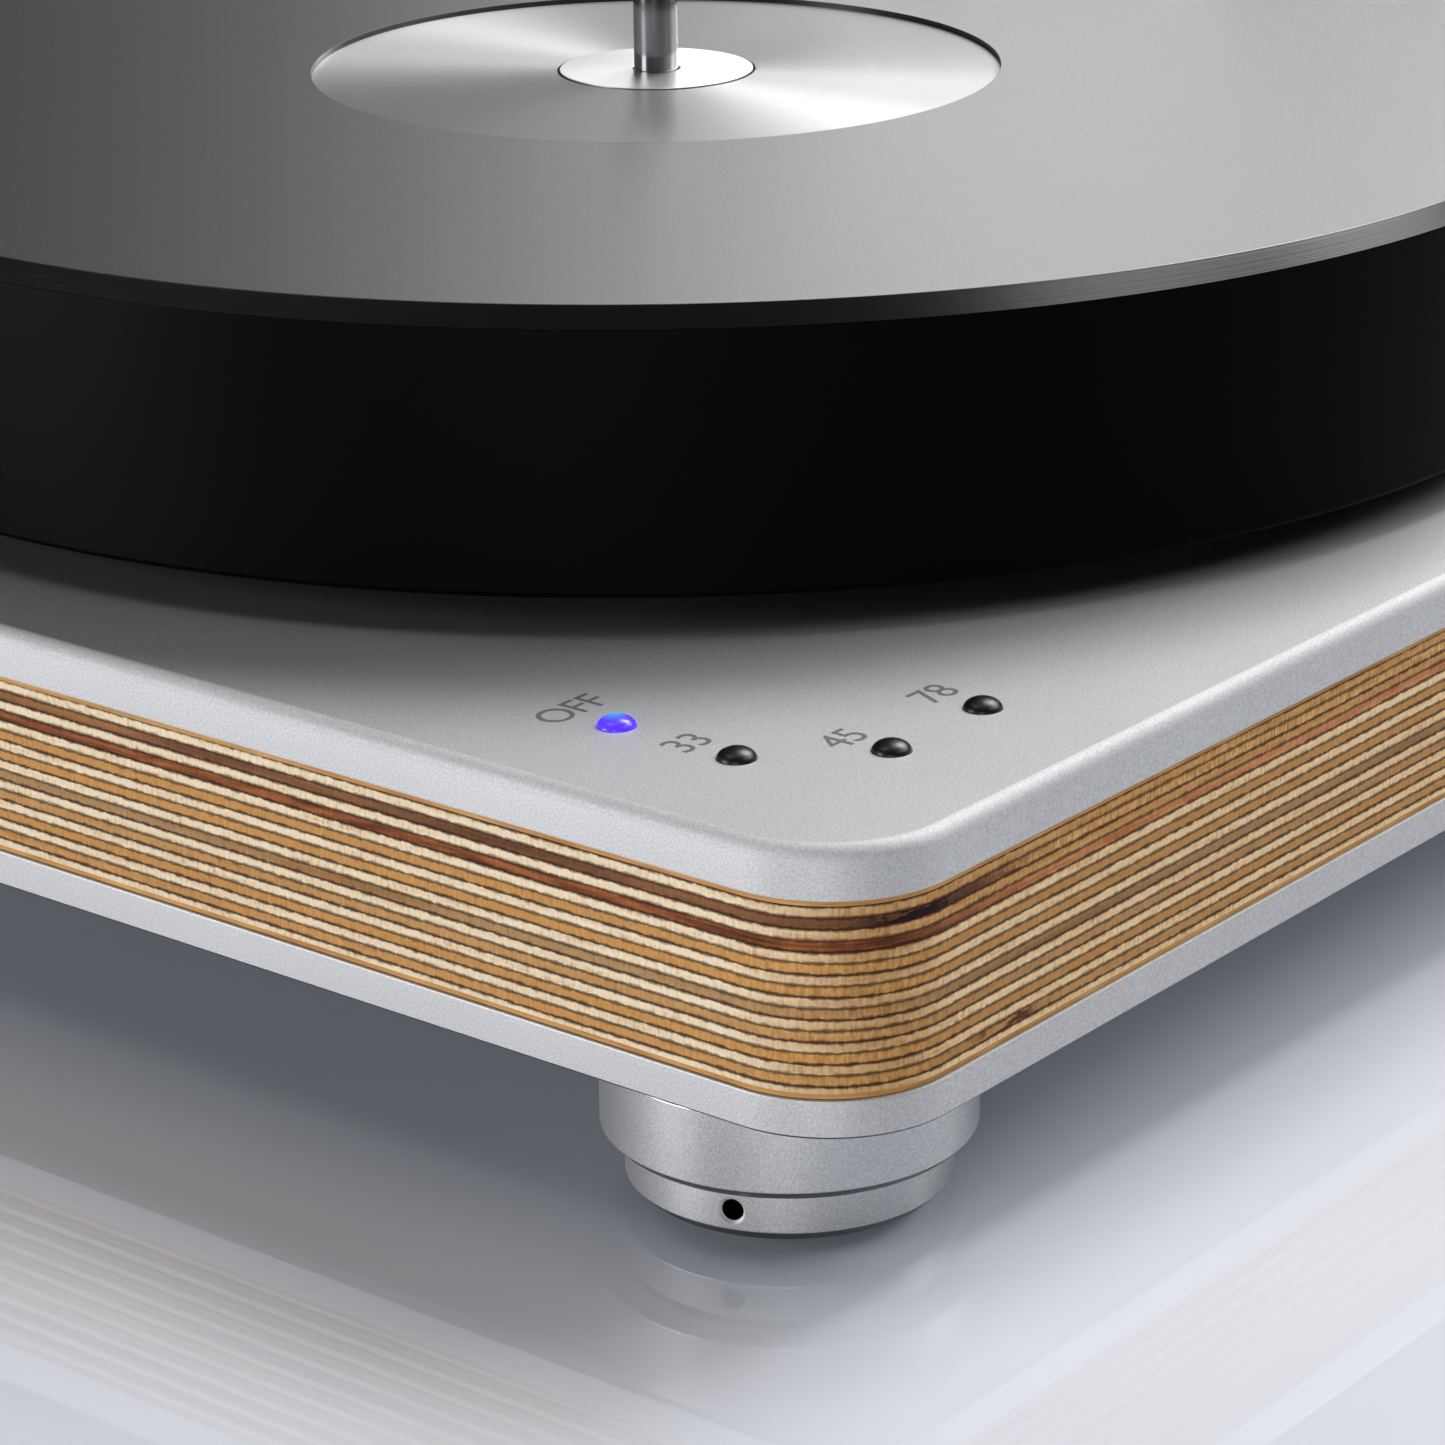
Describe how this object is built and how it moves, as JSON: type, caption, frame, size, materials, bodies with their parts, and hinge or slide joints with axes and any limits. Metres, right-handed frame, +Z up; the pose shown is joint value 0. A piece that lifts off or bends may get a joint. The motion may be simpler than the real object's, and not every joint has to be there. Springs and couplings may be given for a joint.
{
  "type": "turntable",
  "caption": "Belt drive turntable: layered birch core between aluminium plates, black platter, dome speed buttons, levelling feet and a pivoted tonearm.",
  "frame": {"origin": "middle of the footprint, on the surface that the feet stand on", "axes": "+Z up, +X along the front edge to the right, +Y to the rear; the platter stands at the left, the tonearm at the right"},
  "size_m": [0.42, 0.334, 0.1417],
  "materials": {
    "chassis_aluminium": "bead blasted and silver anodised",
    "turned_aluminium": "turned, satin anodised",
    "birch": "layered birch, fine sanded edge, clear oil",
    "black_acetal": "turned black acetal, satin",
    "black_plastic": "moulded, fine matt",
    "gloss_black": "moulded, polished",
    "lit_lens": "moulded lens, lit blue violet",
    "polished_steel": "polished",
    "dark_steel": "blackened, fine turned",
    "bronze": "turned",
    "black_rubber": "ground rubber",
    "cable_rubber": "soft cable jacket",
    "board": "glass epoxy with solder mask"
  },
  "bodies": {
    "chassis": {"top_plate": "chassis_aluminium", "wood_core": "birch", "bottom_plate": "chassis_aluminium", "supply_lead": "cable_rubber", "motor_lead": "cable_rubber", "signal_lead": "cable_rubber", "bearing_housing": "turned_aluminium", "bearing_bush_upper": "bronze", "bearing_bush_lower": "bronze", "thrust_pad": "black_plastic", "thrust_ball": "polished_steel", "motor_can": "dark_steel", "motor_isolator": "black_rubber", "drive_belt": "black_rubber", "control_board": "board", "output_panel": "black_plastic", "phono_socket_left": "bronze", "phono_socket_right": "bronze", "ground_terminal": "bronze", "supply_inlet": "black_plastic", "foot_body_front_left": "chassis_aluminium", "foot_body_front_right": "chassis_aluminium", "foot_body_rear": "chassis_aluminium", "arm_base": "turned_aluminium", "arm_clamp_screw": "dark_steel"},
    "platter": {"platter": "black_acetal", "hub_disc": "polished_steel", "spindle": "polished_steel", "sub_platter": "turned_aluminium"},
    "pulley": {"motor_shaft": "polished_steel", "motor_pulley": "bronze"},
    "button_off": {"button_off": "lit_lens"},
    "button_33": {"button_33": "gloss_black"},
    "button_45": {"button_45": "gloss_black"},
    "button_78": {"button_78": "gloss_black"},
    "pad_front_left": {"foot_pad_front_left": "black_rubber"},
    "pad_front_right": {"foot_pad_front_right": "black_rubber"},
    "pad_rear": {"foot_pad_rear": "black_rubber"},
    "ring_front_left": {"foot_ring_front_left": "chassis_aluminium"},
    "ring_front_right": {"foot_ring_front_right": "chassis_aluminium"},
    "ring_rear": {"foot_ring_rear": "chassis_aluminium"},
    "arm_post": {"arm_pillar": "polished_steel", "arm_deck": "turned_aluminium", "lift_housing": "turned_aluminium", "arm_rest": "black_plastic"},
    "arm_carrier": {"arm_yoke": "turned_aluminium", "pivot_pin_left": "dark_steel", "pivot_pin_right": "dark_steel"},
    "arm": {"arm_block": "turned_aluminium", "arm_tube": "turned_aluminium", "weight_shaft": "dark_steel", "headshell": "turned_aluminium", "cartridge": "black_plastic", "stylus": "bronze", "finger_lift": "turned_aluminium"},
    "counterweight": {"counterweight": "dark_steel"},
    "lift": {"lift_bar": "dark_steel"},
    "lever": {"cue_lever": "dark_steel"},
    "latch": {"arm_latch": "black_plastic"},
    "dial": {"anti_skate_dial": "turned_aluminium"}
  },
  "joints": [
    {"name": "platter_spin", "type": "hinge", "parent": "chassis", "child": "platter", "pos_m": [-0.043, 0, 0.0828], "axis": [0, 0, -1], "continuous": true},
    {"name": "pulley_spin", "type": "hinge", "parent": "chassis", "child": "pulley", "pos_m": [-0.12502, 0.08202, 0.0828], "axis": [0, 0, -1], "continuous": true},
    {"name": "press_off", "type": "slide", "parent": "chassis", "child": "button_off", "axis": [0, 0, -1], "range_m": [0, 0.0006], "stiffness_N_per_m": 500},
    {"name": "press_33", "type": "slide", "parent": "chassis", "child": "button_33", "axis": [0, 0, -1], "range_m": [0, 0.0006], "stiffness_N_per_m": 500},
    {"name": "press_45", "type": "slide", "parent": "chassis", "child": "button_45", "axis": [0, 0, -1], "range_m": [0, 0.0006], "stiffness_N_per_m": 500},
    {"name": "press_78", "type": "slide", "parent": "chassis", "child": "button_78", "axis": [0, 0, -1], "range_m": [0, 0.0006], "stiffness_N_per_m": 500},
    {"name": "foot_height_front_left", "type": "slide", "parent": "chassis", "child": "pad_front_left", "axis": [0, 0, -1], "range_m": [0, 0.004]},
    {"name": "foot_turn_front_left", "type": "hinge", "parent": "pad_front_left", "child": "ring_front_left", "pos_m": [-0.185, -0.137, 0.005], "axis": [0, 0, -1], "range_deg": [0, 960]},
    {"name": "foot_height_front_right", "type": "slide", "parent": "chassis", "child": "pad_front_right", "axis": [0, 0, -1], "range_m": [0, 0.004]},
    {"name": "foot_turn_front_right", "type": "hinge", "parent": "pad_front_right", "child": "ring_front_right", "pos_m": [0.185, -0.137, 0.005], "axis": [0, 0, -1], "range_deg": [0, 960]},
    {"name": "foot_height_rear", "type": "slide", "parent": "chassis", "child": "pad_rear", "axis": [0, 0, -1], "range_m": [0, 0.004]},
    {"name": "foot_turn_rear", "type": "hinge", "parent": "pad_rear", "child": "ring_rear", "pos_m": [0, 0.137, 0.005], "axis": [0, 0, -1], "range_deg": [0, 960]},
    {"name": "arm_height", "type": "slide", "parent": "chassis", "child": "arm_post", "axis": [0, 0, 1], "range_m": [0, 0.004]},
    {"name": "arm_swing", "type": "hinge", "parent": "arm_post", "child": "arm_carrier", "pos_m": [0.158, 0.09425, 0.1072], "axis": [0, 0, -1], "range_deg": [0, 50]},
    {"name": "arm_tilt", "type": "hinge", "parent": "arm_carrier", "child": "arm", "pos_m": [0.158, 0.09425, 0.1272], "axis": [-1, 0, 0], "range_deg": [0, 2.9]},
    {"name": "weight_travel", "type": "slide", "parent": "arm", "child": "counterweight", "axis": [0, 1, 0], "range_m": [-0.01, 0.008]},
    {"name": "cue_lift", "type": "slide", "parent": "arm_post", "child": "lift", "axis": [0, 0, 1], "range_m": [0, 0.00255]},
    {"name": "cue_turn", "type": "hinge", "parent": "arm_post", "child": "lever", "pos_m": [0.158, 0.0497, 0.1057], "axis": [-1, 0, 0], "range_deg": [0, 55]},
    {"name": "latch_turn", "type": "hinge", "parent": "arm_post", "child": "latch", "pos_m": [0.1649, 0.01925, 0.1343], "axis": [0, -1, 0], "range_deg": [0, 180]},
    {"name": "anti_skate_turn", "type": "hinge", "parent": "arm_post", "child": "dial", "pos_m": [0.182, 0.09425, 0.1008], "axis": [0, 0, 1], "range_deg": [0, 270]}
  ],
  "couplings": [
    {"joint": "pulley_spin", "follows": "platter_spin", "ratio": 8},
    {"joint": "foot_height_front_left", "follows": "foot_turn_front_left", "m_per_rad": 0.00023873},
    {"joint": "foot_height_front_right", "follows": "foot_turn_front_right", "m_per_rad": 0.00023873},
    {"joint": "foot_height_rear", "follows": "foot_turn_rear", "m_per_rad": 0.00023873},
    {"joint": "cue_lift", "follows": "cue_turn", "m_per_rad": 0.0026},
    {"joint": "arm_tilt", "follows": "cue_turn", "ratio": 0.052}
  ]
}
